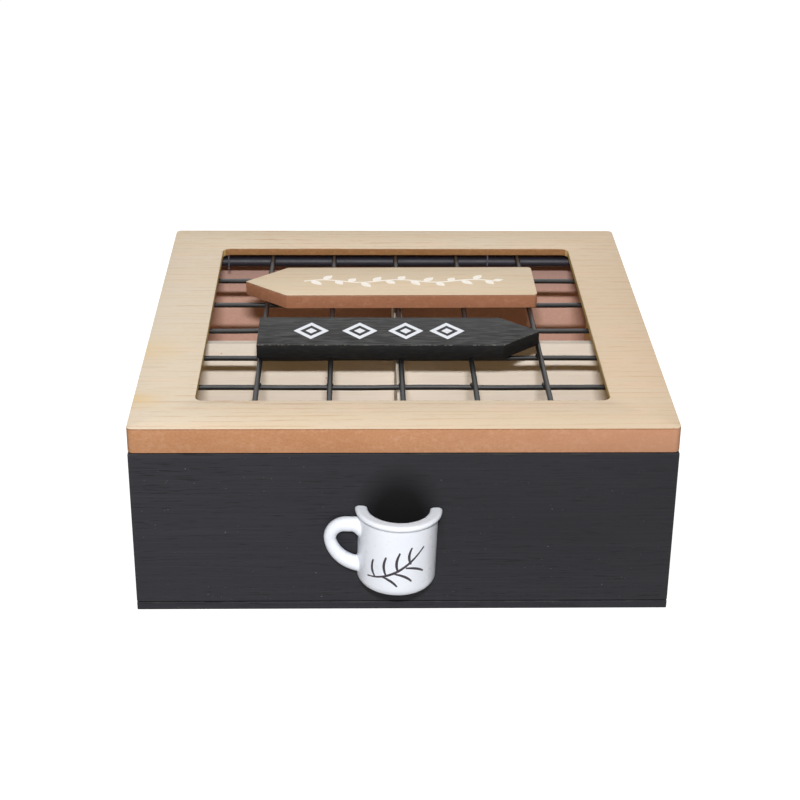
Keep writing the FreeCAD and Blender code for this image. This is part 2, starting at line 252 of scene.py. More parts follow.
def bare_board(name, colour, dark, pale):
    """The bare face or edge of fibre board: matt, and finely mottled by its fibres."""
    board = Finish(name, colour, 0.82, Specular_IOR_Level=0.2)
    fibres = board.cloud((0.8, 0.8, 0.7), 2, detail=4)
    board.tint(board.span(fibres, 0.42, 0.68, 0, 0.5), dark)
    board.mottle(pale, (2.2, 2.2, 1.6), 8, (0.5, 0.7), 0.4)
    board.mottle(dark, (24, 24, 9), 12, (0.42, 0.7), 0.35)
    board.sprinkle(dark, (1.3, 1.3, 1.3), 4, 0.2, 0.2, 0.45)
    board.raise_by(fibres, 0.03)
    return board


case_paint = charcoal_paint("charcoal_paint").material
worn_paint = charcoal_paint("worn_charcoal_paint")
worn_paint.mottle(seen(66, 64, 62), (7, 7, 7), 23, (0.56, 0.64), 0.35, detail=5)
brown_board = bare_board("brown_board", seen(158, 112, 94), seen(132, 88, 70),
                         seen(182, 138, 118)).material


def bevel(bm, geom, offset, affect, segments):
    """Rounds edges, or the corners of an outline, in a few segments."""
    bmesh.ops.bevel(bm, geom=geom, offset=offset, affect=affect, segments=segments, profile=0.5,
                    material=-1)


def eased_board(low, high, ease):
    """A sawn board between two corners, with its edges eased by sanding."""
    bm = bmesh.new()
    bmesh.ops.create_cube(bm, size=1)
    bmesh.ops.scale(bm, vec=high - low, verts=bm.verts)
    bmesh.ops.translate(bm, vec=(low + high) / 2, verts=bm.verts)
    bevel(bm, bm.edges[:], ease, "EDGES", 3)
    return bm


def as_mesh(bm, name):
    """Turns what was modelled into a mesh."""
    mesh = bpy.data.meshes.new(name)
    bm.to_mesh(mesh)
    bm.free()
    return mesh


def make_piece(bm, name, body, nodes, materials, pick=None):
    """A piece that rides on a body in place of CAD nodes. Pick gives each face its material."""
    bmesh.ops.recalc_face_normals(bm, faces=bm.faces)
    bm.normal_update()
    for face in bm.faces:
        face.smooth = True
        face.material_index = pick(face) if pick else 0
    mesh = as_mesh(bm, name)
    mesh.set_sharp_from_angle(angle=smooth_angle)
    for material in materials:
        mesh.materials.append(material)
    piece = put_in_scene(name, mesh)
    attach(piece, body)
    if nodes:
        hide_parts(*nodes)


def painted_board(name, node, body, bare_way, trim=(0, 0, 0), coat=case_paint, bare=brown_board):
    """A painted board, worn at its edges, and bare inside the lap on its face that looks one way.

    Trim draws a nailed face back along one way, so that the nails' heads stand just proud of it."""
    low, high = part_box(node)
    trim = Vector(trim) * nail_stand
    low += Vector(max(part, 0) for part in trim)
    high += Vector(min(part, 0) for part in trim)

    bm = eased_board(low, high, board_ease)
    bm.normal_update()
    inner = [face for face in bm.faces if face.normal.dot(bare_way) > flat_share]
    bmesh.ops.inset_individual(bm, faces=inner, thickness=paint_lap)

    def pick(face):
        if face in inner:
            return 2
        return int(max(abs(part) for part in face.normal) < flat_share)

    make_piece(bm, name, body, [node], [coat, worn_paint.material, bare], pick)


painted_board("bottom_board", "case_bottom", "case", (0, 0, -1), trim=(0, 0, 1))
painted_board("left_side_board", "case_left_side", "case", (1, 0, 0))
painted_board("right_side_board", "case_right_side", "case", (-1, 0, 0))
painted_board("back_board", "case_back", "case", (0, -1, 0), trim=(0, -1, 0))


# Small steel nails hold the case. Their heads are flush: bare in the underside, and painted over
# with the rest of the back.
back_nail_reach = 1 * mm
steel = Finish("nail_steel", (0.5, 0.5, 0.51, 1), 0.38, Metallic=1)
steel.mottle((0.3, 0.28, 0.26, 1), (1.5, 1.5, 1.5), 2, (0.5, 0.8), 0.5)
steel.vary_roughness((0.4, 0.4, 2), 6, 0.28, 0.5)
steel.raise_by(steel.cloud((0.3, 0.3, 0.3), 9), 0.01)


def dress(node, *materials):
    """Gives a CAD node that keeps its shape its finish."""
    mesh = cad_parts[node].data
    mesh.materials.clear()
    for material in materials:
        mesh.materials.append(material)


dress("case_brads", steel.material, case_paint)
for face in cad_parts["case_brads"].data.polygons:
    if face.center.y > cad_box[1].y - back_nail_reach:
        face.material_index = 1


# The top frame is one board with a window, sawn from fibre board that was veneered first. A rebate
# underneath takes the wire mesh. Its sawn edges show the orange-brown board.
window_side = 139 * mm
window_radius = 3 * mm
frame_radius = 2 * mm
rebate_radius = 6 * mm
rebate_play = 0.35 * mm
rebate_margin = 1 * mm
lip_thickness = 2.9 * mm
core_ease = 0.3 * mm
skin_ease = 0.2 * mm
corner_steps = 8
sawn_board = bare_board("sawn_board", seen(192, 141, 104), seen(172, 118, 80), seen(208, 162, 132))
# The window's front and rear faces are the sawn board with shade painted in, darker, and its sides are
# the same board with light painted in, paler and yellower.
shaded_window_faces = bare_board("window_faces_painted_shade", seen(166, 122, 80), seen(142, 99, 60), seen(186, 143, 99))
lit_window_sides = bare_board("window_sides_painted_light", seen(214, 186, 126), seen(192, 162, 104),
                              seen(226, 200, 146))
skin_edge = bare_board("sawn_skin_edge", seen(168, 120, 88), seen(136, 88, 62), seen(196, 156, 124))


def rounded_loop(bm, width, depth, radius, height):
    """The outline of a rounded rectangle at a height, as a ring of edges."""
    corners = bmesh.ops.create_grid(bm, x_segments=1, y_segments=1, size=0.5)["verts"]
    bmesh.ops.scale(bm, vec=(width, depth, 1), verts=corners)
    bmesh.ops.translate(bm, vec=(0, 0, height), verts=corners)
    bevel(bm, corners, radius, "VERTICES", corner_steps)
    bm.faces.ensure_lookup_table()
    ring = bm.faces[0].edges[:]
    bmesh.ops.delete(bm, geom=bm.faces[:], context="FACES_ONLY")
    return ring


def window_board(outlines, eased, ease):
    """A board with a window, from the outlines round its section, with some of them eased.

    The outlines are joined while they stand apart, because level ones can join crosswise."""
    bm = bmesh.new()
    rings = []
    for number, (width, depth, radius, height) in enumerate(outlines):
        rings.append(rounded_loop(bm, width, depth, radius, number * width))
    for ring, following in zip(rings, rings[1:] + rings[:1]):
        bmesh.ops.bridge_loops(bm, edges=ring + following)
    for ring, (width, depth, radius, height) in zip(rings, outlines):
        for vert in {vert for edge in ring for vert in edge.verts}:
            vert.co.z = height
    bmesh.ops.recalc_face_normals(bm, faces=bm.faces)
    bevel(bm, [edge for index in eased for edge in rings[index]], ease, "EDGES", 2)
    return bm


def veneer(name, streak_length):
    """Pale unvarnished veneer: straight grain from side to side, in fine darker lines and pores."""
    wood = Finish(name, seen(214, 199, 178), 0.62, Specular_IOR_Level=0.2)
    wood.mottle(seen(216, 194, 165), (90, 30, 30), 4, (0.35, 0.7), 0.6)
    flow = wood.cloud((streak_length, 4.5, 4.5), 6, detail=2, warp=0.15)
    wood.tint(wood.span(flow, 0.48, 0.68, 0, 0.4), seen(218, 193, 160))
    wood.mottle(seen(228, 198, 176), (24, 9, 9), 21, (0.54, 0.7), 0.4)
    growth = wood.rings((streak_length, 3.4, 3.4), 9, 9)
    broken = wood.span(wood.cloud((9, 2.5, 2.5), 14, detail=2), 0.36, 0.6)
    wood.tint(wood.times(wood.span(growth, 0.35, 0.95, 0, 0.3), broken), seen(212, 182, 148))
    wood.tint(wood.times(wood.span(growth, 0.82, 0.94, 0, 0.6), broken), seen(184, 148, 116))
    pores = wood.cloud((3, 0.3, 0.3), 25, detail=1)
    wood.tint(wood.span(pores, 0.62, 0.72, 0, 0.45), seen(192, 158, 126))
    wood.put("Roughness", wood.span(flow, 0.3, 0.7, 0.56, 0.7))
    wood.raise_by(growth, 0.015)
    wood.raise_by(pores, 0.015)
    return wood


frame_veneer = veneer("frame_veneer", 70)
blotches = frame_veneer.span(frame_veneer.cloud((9, 5, 5), 41), 0.25, 0.55)
# Two yellowish stains at the left edge, a darker right side, painted shade over the front rail, and a
# paler left side.
for shade, place, reach, strength in (
    (seen(218, 182, 118), (-89, -29, 69), (15, 13, 9), blotches),
    (seen(218, 182, 118), (-90, -69, 69), (13, 8, 9), blotches),
    (seen(210, 184, 156), (100, -20, 69), (70, 170, 40), 0.6),
    (seen(204, 183, 156), (50, -92, 69), (130, 30, 30), 0.65),
    (seen(226, 216, 200), (-88, -10, 69), (45, 150, 30), 0.5),
):
    frame_veneer.stain(shade, place, reach, strength)
core_low, core_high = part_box("top_frame_core")
veneer_low, veneer_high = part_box("top_frame_veneer")
rod_low, rod_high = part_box("mesh_border_rod")
frame_size = core_high - core_low
rebate_size = rod_high - rod_low + Vector((rebate_play, rebate_play, 0)) * 2
lip_height = veneer_high.z - lip_thickness
sawn_board.stain(seen(196, 146, 121), (95, -90, 64), (110, 20, 20), 0.6)
core = window_board([
    (frame_size.x, frame_size.y, frame_radius, core_low.z),
    (frame_size.x, frame_size.y, frame_radius, core_high.z),
    (window_side, window_side, window_radius, core_high.z),
    (window_side, window_side, window_radius, lip_height),
    (rebate_size.x, rebate_size.y, rebate_radius, lip_height),
    (rebate_size.x, rebate_size.y, rebate_radius, core_low.z),
], (0, 3, 5), core_ease)


def is_upright(face):
    """True for a face at the side of a board."""
    return abs(face.normal.z) < upright_share


def inside_window(face):
    """1 for the window's front and rear faces, in painted shade, 2 for its sides, in painted light,
    else 0.
    """
    centre = face.calc_center_median()
    if max(abs(centre.x), abs(centre.y)) > rebate_size.x / 2 + rebate_margin:
        return 0
    return 2 if abs(face.normal.x) > abs(face.normal.y) else 1


make_piece(core, "frame_board", "case", ["top_frame_core"],
           [sawn_board.material, shaded_window_faces.material, lit_window_sides.material], inside_window)
skin = window_board([
    (frame_size.x, frame_size.y, frame_radius, veneer_low.z),
    (frame_size.x, frame_size.y, frame_radius, veneer_high.z),
    (window_side, window_side, window_radius, veneer_high.z),
    (window_side, window_side, window_radius, veneer_low.z),
], (1, 2), skin_ease)
make_piece(skin, "frame_skin", "case", ["top_frame_veneer"],
           [frame_veneer.material, skin_edge.material, shaded_window_faces.material, lit_window_sides.material],
           lambda face: 1 + inside_window(face) if is_upright(face) else 0)


# The wire mesh lies in the rebate: a rod bent and welded into a rounded loop, five wires from
# front to back over it, and five cross wires welded underneath them, all coated black.
rod_bend = 5 * mm
rod_sides = 20
bend_steps = 10
seam_merge = 0.02 * mm
wire_sides = 14
wire_steps = 30
long_wire_leans = [-0.3 * mm, 0, 0.15 * mm, 0.6 * mm, 0.6 * mm]
wave_height = 0.2 * mm
wave_sag_share = 0.3
cross_waves = [(1, 14, 2.1), (0.5, 25, 4.3)]
weld_swell = 1.14
weld_spread = 1.15


def black_coating(name, colour, uneven, low, high):
    """Black coating on steel wire, uneven in its colour and its shine."""
    coating = Finish(name, colour, low, Specular_IOR_Level=0.55)
    coating.mottle(uneven, (6, 6, 6), 3, (0.4, 0.7), 0.5)
    coating.sprinkle(seen(76, 76, 78), (2, 2, 2), 9, 0.08, 0.1, 0.4)
    coating.vary_roughness((5, 5, 5), 7, low, high)
    coating.raise_by(coating.cloud((2.4, 2.4, 2.4), 5, detail=1), 0.02)
    return coating.material


wire_coating = black_coating("wire_coating", seen(11, 11, 13), seen(20, 20, 23), 0.3, 0.38)
rod_coating = black_coating("rod_coating", seen(24, 23, 34), seen(34, 32, 46), 0.52, 0.6)


def verts_among(made):
    """The corners among what an operator made."""
    return [item for item in made if isinstance(item, bmesh.types.BMVert)]


def edges_among(made):
    """The edges among what an operator made."""
    return [item for item in made if isinstance(item, bmesh.types.BMEdge)]


def push(bm, edges, vector):
    """Extrudes a ring of edges by a vector, and returns the ring at its far end."""
    made = bmesh.ops.extrude_edge_only(bm, edges=edges)["geom"]
    bmesh.ops.translate(bm, vec=vector, verts=verts_among(made))
    return [edge for edge in edges_among(made) if edge.is_boundary]


def turn(bm, edges, centre, axis, angle, steps):
    """Sweeps a ring of edges about an axis, and returns the ring at its far end."""
    made = bmesh.ops.spin(bm, geom=edges, cent=centre, axis=axis, angle=angle, steps=steps)
    return edges_among(made["geom_last"])


def section_ring(bm, centre, radius, sides, facing):
    """A ring of edges round a centre, square to the way it faces."""
    verts = bmesh.ops.create_circle(bm, segments=sides, radius=radius)["verts"]
    bmesh.ops.rotate(bm, matrix=Vector((0, 0, 1)).rotation_difference(facing).to_matrix(), verts=verts)
    bmesh.ops.translate(bm, vec=centre, verts=verts)
    return list({edge for vert in verts for edge in vert.link_edges})


rod_radius = (rod_high.z - rod_low.z) / 2
rod_z = rod_low.z + rod_radius
corner_x = rod_high.x - rod_radius - rod_bend
corner_y = rod_high.y - rod_radius - rod_bend
bm = bmesh.new()
ring = section_ring(bm, Vector((-corner_x, -corner_y - rod_bend, rod_z)), rod_radius, rod_sides,
                    Vector((1, 0, 0)))
for quarter in range(4):
    heading = Matrix.Rotation(quarter * math.pi / 2, 3, "Z") @ Vector((1, 0, 0))
    outward = Matrix.Rotation(-math.pi / 2, 3, "Z") @ heading
    corner = Vector(((heading + outward).x * corner_x, (heading + outward).y * corner_y, rod_z))
    ring = push(bm, ring, heading * 2 * (corner_y if quarter % 2 else corner_x))
    ring = turn(bm, ring, corner, (0, 0, 1), math.pi / 2, bend_steps)
bmesh.ops.remove_doubles(bm, verts=bm.verts, dist=seam_merge)
make_piece(bm, "border_rod", "case", ["mesh_border_rod"], [rod_coating])


def wire(bm, places, facing):
    """A wire through a row of places, with closed ends."""
    ring = section_ring(bm, places[0], wire_radius, wire_sides, facing)
    bmesh.ops.contextual_create(bm, geom=ring)
    for place, following in zip(places, places[1:]):
        ring = push(bm, ring, following - place)
    bmesh.ops.contextual_create(bm, geom=ring)


long_low, long_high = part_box("mesh_long_wires")
cross_low, cross_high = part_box("mesh_cross_wires")
wire_radius = (long_high.z - long_low.z) / 2
wire_count = len(long_wire_leans)
long_z = (long_low.z + long_high.z) / 2
cross_z = (cross_low.z + cross_high.z) / 2
shares = [step / wire_steps for step in range(wire_steps + 1)]


def wire_middles(low, high):
    """The middles of the wires side by side, between the outer sides of the first and the last."""
    spacing = (high - low - 2 * wire_radius) / (wire_count - 1)
    return [low + wire_radius + spacing * index for index in range(wire_count)]


long_x = wire_middles(long_low.x, long_high.x)
bm = bmesh.new()
for x, lean in zip(long_x, long_wire_leans):
    near = Vector((x + lean, long_low.y, long_z))
    far = Vector((x - lean, long_high.y, long_z))
    wire(bm, [near.lerp(far, share) for share in shares], Vector((0, 1, 0)))
make_piece(bm, "long_wires", "case", ["mesh_long_wires"], [wire_coating])

bm = bmesh.new()
for index, y in enumerate(wire_middles(cross_low.y, cross_high.y)):
    places = []
    for share in shares:
        wave = wave_height * sum(strength * math.sin(share * bends + index * shift)
                                 for strength, bends, shift in cross_waves)
        x = cross_low.x + (cross_high.x - cross_low.x) * share
        places.append(Vector((x, y + wave, cross_z - abs(wave) * wave_sag_share)))
    wire(bm, places, Vector((1, 0, 0)))
    for x in long_x:
        weld = bmesh.ops.create_icosphere(bm, subdivisions=3, radius=wire_radius * weld_swell)["verts"]
        bmesh.ops.scale(bm, vec=(weld_spread, weld_spread, 1), verts=weld)
        bmesh.ops.translate(bm, vec=(x, y, (long_z + cross_z) / 2), verts=weld)
make_piece(bm, "cross_wires", "case", ["mesh_cross_wires"], [wire_coating])


# Galvanised staples hold the mesh up in the rebate. They are pushed up round the border rod, so
# only their legs show beside it from above, dull and dark.
staple_steel = Finish("staple_steel", (0.2, 0.19, 0.24, 1), 0.55, Metallic=1)
staple_steel.mottle((0.14, 0.14, 0.17, 1), (0.8, 0.8, 0.8), 3, (0.4, 0.7), 1)
staple_steel.raise_by(staple_steel.cloud((0.3, 0.3, 0.3), 8), 0.01)
dress("mesh_staples", staple_steel.material)


# The natural sign is a small arrow sawn from the same veneered board. Its blunt end is rounded,
# and a white vine is printed along it. It lies on the mesh and points left.
print_thickness = 0.05 * mm
sign_point = 15.8 * mm
sign_end_radius = 1.5 * mm
sign_core_ease = 0.08 * mm
sign_skin_ease = 0.12 * mm
natural_width = 27.7 * mm
natural_turn = math.radians(180.5)


def outlined_face(bm, places):
    """A flat face inside an outline, and the outline's corners."""
    corners = [bm.verts.new(place) for place in places]
    sides = [bm.edges.new(pair) for pair in zip(corners, corners[1:] + corners[:1])]
    bmesh.ops.contextual_create(bm, geom=sides)
    return corners


def thicken(bm, vector):
    """Gives flat faces their thickness along a vector."""
    made = bmesh.ops.extrude_face_region(bm, geom=bm.faces[:])["geom"]
    bmesh.ops.translate(bm, vec=vector, verts=verts_among(made))


def arrow_board(length, width, point, low, high, end_radius, ease):
    """An arrow-shaped board about the origin, which points towards +X."""
    bm = bmesh.new()
    outline = [(-length / 2, -width / 2), (length / 2 - point, -width / 2), (length / 2, 0),
               (length / 2 - point, width / 2), (-length / 2, width / 2)]
    corners = outlined_face(bm, [(x, y, low) for x, y in outline])
    if end_radius:
        bevel(bm, [corners[0], corners[-1]], end_radius, "VERTICES", 6)
    thicken(bm, (0, 0, high - low))
    bevel(bm, bm.edges[:], ease, "EDGES", 2)
    return bm


def lay(bm, turned, middle):
    """Turns what was made about the origin, and moves it over a sign's middle."""
    bmesh.ops.rotate(bm, matrix=Matrix.Rotation(turned, 3, "Z"), verts=bm.verts)
    bmesh.ops.translate(bm, vec=(middle.x, middle.y, 0), verts=bm.verts)
    return bm


sign_low, sign_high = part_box("natural_sign_core")
sign_skin_low, sign_skin_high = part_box("natural_sign_veneer")
natural_middle = (sign_low + sign_high) / 2
natural_length = sign_high.x - sign_low.x
sign_board = bare_board("sign_board", seen(164, 113, 85), seen(150, 98, 69), seen(184, 134, 104))
sign_veneer = veneer("sign_veneer", 40)
sign_veneer.tint(0.5, seen(210, 192, 165))
bm = arrow_board(natural_length, natural_width, sign_point, sign_low.z, sign_high.z, sign_end_radius,
                 sign_core_ease)
make_piece(lay(bm, natural_turn, natural_middle), "natural_sign_board", "case",
           ["natural_sign_core"], [sign_board.material])
bm = arrow_board(natural_length, natural_width, sign_point, sign_skin_low.z,
                 sign_skin_high.z - print_thickness, sign_end_radius, sign_skin_ease)
make_piece(lay(bm, natural_turn, natural_middle), "natural_sign_skin", "case",
           ["natural_sign_veneer"], [sign_veneer.material, sign_board.material],
           lambda face: int(is_upright(face)))


def white_print(name, colour, through):
    """Thin white ink, which lets a little of the sign's own colour through along the grain."""
    ink = Finish(name, colour, 0.55, Specular_IOR_Level=0.3)
    ink.mottle(through, (2.5, 0.5, 2), 4, (0.52, 0.75), 0.45, detail=4)
    ink.raise_by(ink.cloud((1.2, 0.4, 1), 8), 0.02)
    return ink.material


def drawn_line(name, places, widths):
    """A mesh tube along a smooth line through places, whose width swells and thins."""
    curve = bpy.data.curves.new(name, "CURVE")
    curve.dimensions = "3D"
    curve.bevel_depth = 0.5
    curve.bevel_resolution = 3
    curve.use_fill_caps = True
    curve.resolution_u = 4
    line = curve.splines.new("NURBS")
    line.points.add(len(places) - 1)
    for point, place, width in zip(line.points, places, widths):
        point.co = (*place, 1)
        point.radius = width
    line.order_u = 3
    line.use_endpoint_u = True
    holder = bpy.data.objects.new(name, curve)
    bm = bmesh.new()
    bm.from_mesh(holder.to_mesh())
    bmesh.ops.remove_doubles(bm, verts=bm.verts, dist=fine_merge)
    holder.to_mesh_clear()
    bpy.data.objects.remove(holder)
    bpy.data.curves.remove(curve)
    return bm


def leaf(bm, base, angle, length, width):
    """A flat leaf with a pointed tip, from its base."""
    verts = bmesh.ops.create_circle(bm, cap_ends=True, segments=leaf_corners, radius=0.5)["verts"]
    for vert in verts:
        vert.co.y *= math.cos(vert.co.x * math.pi * leaf_pointing)
    bmesh.ops.scale(bm, vec=(length, width, 1), verts=verts)
    bmesh.ops.translate(bm, vec=(length / 2, 0, 0), verts=verts)
    bmesh.ops.rotate(bm, matrix=Matrix.Rotation(angle, 3, "Z"), verts=verts)
    bmesh.ops.translate(bm, vec=base, verts=verts)


def print_on(bm, face_height):
    """Gives flat printed shapes their thickness, up to the height of a sign's printed face."""
    thicken(bm, (0, 0, print_thickness))
    bmesh.ops.translate(bm, vec=(0, 0, face_height - print_thickness), verts=bm.verts)


def join(bm, other):
    """Adds shapes that were modelled apart."""
    bm.from_mesh(as_mesh(other, "joined"))


vine_left = -33 * mm
vine_length = 72 * mm
vine_width = 0.9 * mm
vine_flatness = 0.06
vine_rise = 1.3 * mm
vine_turns = 2.5
vine_steps = 40
vine_leaves = 15
leaf_corners = 20
leaf_pointing = 0.86
leaf_angles = [math.radians(44), math.radians(50), math.radians(56)]
leaf_lengths = [6.2 * mm, 5.6 * mm, 5 * mm, 4.4 * mm]
leaf_width = 3.1 * mm
tip_angle = math.radians(12)
tip_length = 4.6 * mm
tip_width = 2.4 * mm
fine_merge = 0.001 * mm


def on_vine(share):
    """A place along the vine's wavy stem."""
    rise = vine_rise * math.sin(share * vine_turns * math.tau)
    return Vector((vine_left + vine_length * share, rise, 0))


bm = drawn_line("vine", [on_vine(step / vine_steps) for step in range(vine_steps + 1)],
                [vine_width] * (vine_steps + 1))
bmesh.ops.scale(bm, vec=(1, 1, vine_flatness), verts=bm.verts)
bmesh.ops.translate(bm, vec=(0, 0, sign_skin_high.z - print_thickness), verts=bm.verts)
leaves = bmesh.new()
for number in range(vine_leaves):
    side = 1 if number % 2 else -1
    leaf(leaves, on_vine((number + 0.5) / vine_leaves), side * leaf_angles[number % len(leaf_angles)],
         leaf_lengths[number % len(leaf_lengths)], leaf_width)
leaf(leaves, on_vine(1), tip_angle, tip_length, tip_width)
print_on(leaves, sign_skin_high.z)
join(bm, leaves)
make_piece(lay(bm, natural_turn - math.pi, natural_middle), "printed_vine", "case", [],
           [white_print("vine_white", seen(244, 238, 230), seen(230, 218, 200))])


# The black sign is a second arrow, painted charcoal so thinly that the brushed grain shows, and
# rubbed along its edges. Four white lozenges are printed on it, and it points right.
black_turn = math.radians(-0.2)
black_width = 24.4 * mm
black_point = 13.6 * mm
black_ease = 0.25 * mm
lozenge_places = [-31.5 * mm, -14.1 * mm, 2.4 * mm, 17.2 * mm]
lozenge_width = 12.6 * mm
lozenge_depth = 14.5 * mm
lozenge_band = 1.7 * mm
lozenge_core_share = 0.5


def sign_paint(name, worn):
    """Thin charcoal paint brushed from end to end, so that the grain shows through in streaks."""
    paint = Finish(name, seen(40, 40, 40), 0.6, Specular_IOR_Level=0.15)
    brushing = paint.cloud((9, 0.7, 0.7), 3, detail=4)
    paint.tint(paint.span(brushing, 0.46, 0.6, 0, 0.9), seen(74, 74, 74))
    paint.mottle(seen(14, 14, 14), (7, 0.7, 0.7), 8, (0.54, 0.64), 0.8, detail=2)
    paint.mottle(seen(42, 42, 42), (20, 8, 8), 12, (0.45, 0.7), 0.4)
    paint.raise_by(brushing, 0.05)
    if worn:
        paint.mottle(seen(120, 118, 114), (1.3, 1.3, 1.3), 16, (0.5, 0.6), 0.6, detail=4)
    return paint.material


sign_side_paint = Finish("dark_sign_side", seen(17, 17, 18), 0.6, Specular_IOR_Level=0.2)
sign_side_paint.mottle(seen(33, 33, 32), (3, 3, 0.8), 4, (0.45, 0.7), 0.6, detail=4)
sign_side_paint.raise_by(sign_side_paint.cloud((1.2, 1.2, 0.6), 7), 0.04)


def sign_face(face):
    """0 for the sign's flat faces, 1 for the eased edges of its top and 2 for its sides."""
    if abs(face.normal.z) > flat_share:
        return 0
    return 1 if face.normal.z > upward_share else 2


black_low, black_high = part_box("black_sign")
black_middle = (black_low + black_high) / 2
bm = arrow_board(black_high.x - black_low.x, black_width, black_point, black_low.z,
                 black_high.z - print_thickness, 0, black_ease)
make_piece(lay(bm, black_turn, black_middle), "black_sign_board", "case", ["black_sign"],
           [sign_paint("brushed_sign_paint", False), sign_paint("worn_sign_paint", True),
            sign_side_paint.material], sign_face)


def lozenge(bm, x):
    """A lozenge outline with a smaller solid lozenge in it, flat on the sign."""
    verts = bmesh.ops.create_circle(bm, cap_ends=True, segments=4, radius=0.5)["verts"]
    bmesh.ops.scale(bm, vec=(lozenge_width, lozenge_depth, 1), verts=verts)
    bmesh.ops.translate(bm, vec=(x, 0, 0), verts=verts)
    face = verts[0].link_faces[0]
    bmesh.ops.inset_region(bm, faces=[face], thickness=lozenge_band, use_boundary=True,
                           use_even_offset=True)
    centre = face.calc_center_median()
    outlined_face(bm, [centre + (vert.co - centre) * lozenge_core_share for vert in face.verts])
    bmesh.ops.delete(bm, geom=[face], context="FACES_ONLY")


bm = bmesh.new()
for x in lozenge_places:
    lozenge(bm, x)
print_on(bm, black_high.z)
make_piece(lay(bm, black_turn, black_middle), "printed_lozenges", "case", [],
           [white_print("lozenge_white", seen(228, 232, 240), seen(196, 198, 202))])


# Two galvanised staples hold each sign. They are pushed up into it from below, over the mesh's
# second wire from each side.
dress("sign_staples", staple_steel.material)


# The drawer front is a painted board as wide as the case. It covers the case's front edges and
# leaves a hairline to the frame above it and to the bottom board below. Shade is painted into its
# paint in the pull's pocket and round above the pull, where the paint is also made rougher.
honey_board = bare_board("honey_board", seen(236, 209, 156), seen(220, 191, 136),
                         seen(243, 219, 172)).material
front_paint = charcoal_paint("front_charcoal_paint")
# Darker towards its top right.
darker_top_right = front_paint.spot((75, -90, 55), (170, 30, 60))
front_paint.tint(front_paint.span(darker_top_right, 0, 0.6, 0, 0.6), seen(31, 31, 35))
front_paint.stain(seen(50, 50, 55), (-80, -90, 8), (90, 30, 45), 0.5)
# Painted shade in the pull's pocket and above it, with rougher paint there too.
shade_mask_at_pull = front_paint.spot((-1.6, -90, 36), (16, 8, 21))
front_paint.tint(front_paint.span(shade_mask_at_pull, 0, 0.55, 0, 0.95), seen(6, 6, 7))
front_paint.put("Roughness", front_paint.span(shade_mask_at_pull, 0, 0.5, 0.52, 0.8))
painted_board("front_board", "drawer_front", "drawer", (0, 1, 0), coat=front_paint.material,
              bare=honey_board)


# The drawer's sides, back and bottom are thin fibre board, left bare and nailed together. The back
# is of a pinker board than the rest, with shade painted along its top.
wall_ease = 0.2 * mm
drawer_boards = {
    "drawer_left_wall": "drawer_left_side",
    "drawer_right_wall": "drawer_right_side",
    "drawer_back_wall": "drawer_back",
    "drawer_floor": "drawer_bottom",
}
pink_board = bare_board("pink_board", seen(214, 172, 156), seen(202, 158, 140), seen(224, 186, 172))
# Painted shade: darker and greyer along the top of the back.
pink_board.tint(pink_board.by_height(57, 42), seen(168, 138, 131))
for name, node in drawer_boards.items():
    low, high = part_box(node)
    make_piece(eased_board(low, high, wall_ease), name, "drawer", [node],
               [pink_board.material if name == "drawer_back_wall" else honey_board])
dress("drawer_brads", steel.material)


# Two pale plywood boards are halved into each other and make the drawer's four compartments. They
# are bare, and stand on its floor with their ends against its walls.
slot_play = 0.1 * mm
divider_ease = 0.15 * mm
ply = Finish("pale_ply", seen(231, 220, 207), 0.7, Specular_IOR_Level=0.2)
ply.mottle(seen(222, 208, 192), (30, 30, 1.8), 3, (0.45, 0.7), 0.4, detail=4, warp=0.3)
ply.mottle(seen(214, 192, 168), (14, 14, 0.4), 8, (0.6, 0.72), 0.35)
ply.sprinkle(seen(160, 126, 100), (6, 6, 6), 6, 0.07, 0.5, 0.7)
ply.raise_by(ply.cloud((10, 10, 0.4), 12), 0.03)


def halved_board(length, height, thickness, slot_width, slot_from_top):
    """A divider about the origin along X, with a slot to its middle height from one edge."""
    bm = bmesh.new()
    half = length / 2
    side = slot_width / 2
    outline = [(-half, 0), (half, 0), (half, height), (side, height), (side, height / 2),
               (-side, height / 2), (-side, height), (-half, height)]
    if not slot_from_top:
        outline = [(x, height - z) for x, z in outline]
    outlined_face(bm, [(x, -thickness / 2, z) for x, z in outline])
    thicken(bm, (0, thickness, 0))
    bevel(bm, bm.edges[:], divider_ease, "EDGES", 2)
    return bm


across_low, across_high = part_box("divider_across")
along_low, along_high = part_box("divider_lengthwise")
across_size = across_high - across_low
along_size = along_high - along_low
crossing = (across_low + across_high) / 2
bm = halved_board(across_size.x, across_size.z, across_size.y, along_size.x + 2 * slot_play, True)
bmesh.ops.translate(bm, vec=(0, crossing.y, across_low.z), verts=bm.verts)
make_piece(bm, "cross_divider", "drawer", ["divider_across"], [ply.material])
bm = halved_board(along_size.y, along_size.z, along_size.x, across_size.y + 2 * slot_play, False)
bmesh.ops.rotate(bm, matrix=Matrix.Rotation(math.pi / 2, 3, "Z"), verts=bm.verts)
bmesh.ops.translate(bm, vec=(0, crossing.y, along_low.z), verts=bm.verts)
make_piece(bm, "long_divider", "drawer", ["divider_lengthwise"], [ply.material])


